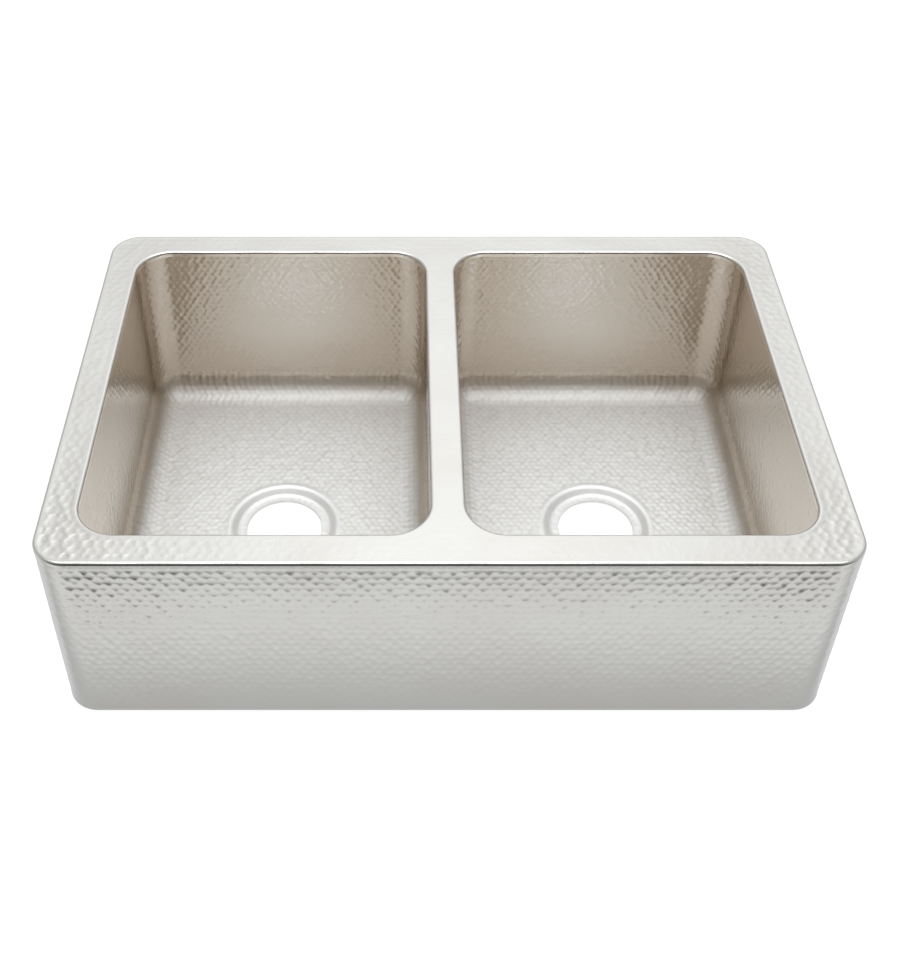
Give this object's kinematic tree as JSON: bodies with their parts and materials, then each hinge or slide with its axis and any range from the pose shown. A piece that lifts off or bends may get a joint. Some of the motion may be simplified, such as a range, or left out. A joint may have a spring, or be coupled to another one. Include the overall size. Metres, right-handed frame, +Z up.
{
  "type": "kitchen sink",
  "caption": "Farmhouse apron front kitchen sink in hammered satin metal, with two equal bowls side by side, coved floors and a recessed round drain hole in each.",
  "frame": {"origin": "centre of the footprint, on the plane that the sink stands on", "axes": "+X to the right along the apron, +Y from the apron to the back, +Z up"},
  "size_m": [0.838, 0.559, 0.245],
  "materials": {
    "hammered_metal": "hand-hammered, satin"
  },
  "bodies": {
    "root": {"deck": "hammered_metal", "front_apron": "hammered_metal", "left_skirt": "hammered_metal", "right_skirt": "hammered_metal", "rear_skirt": "hammered_metal", "left_bowl_wall": "hammered_metal", "right_bowl_wall": "hammered_metal", "left_bowl_floor": "hammered_metal", "right_bowl_floor": "hammered_metal"}
  },
  "joints": []
}
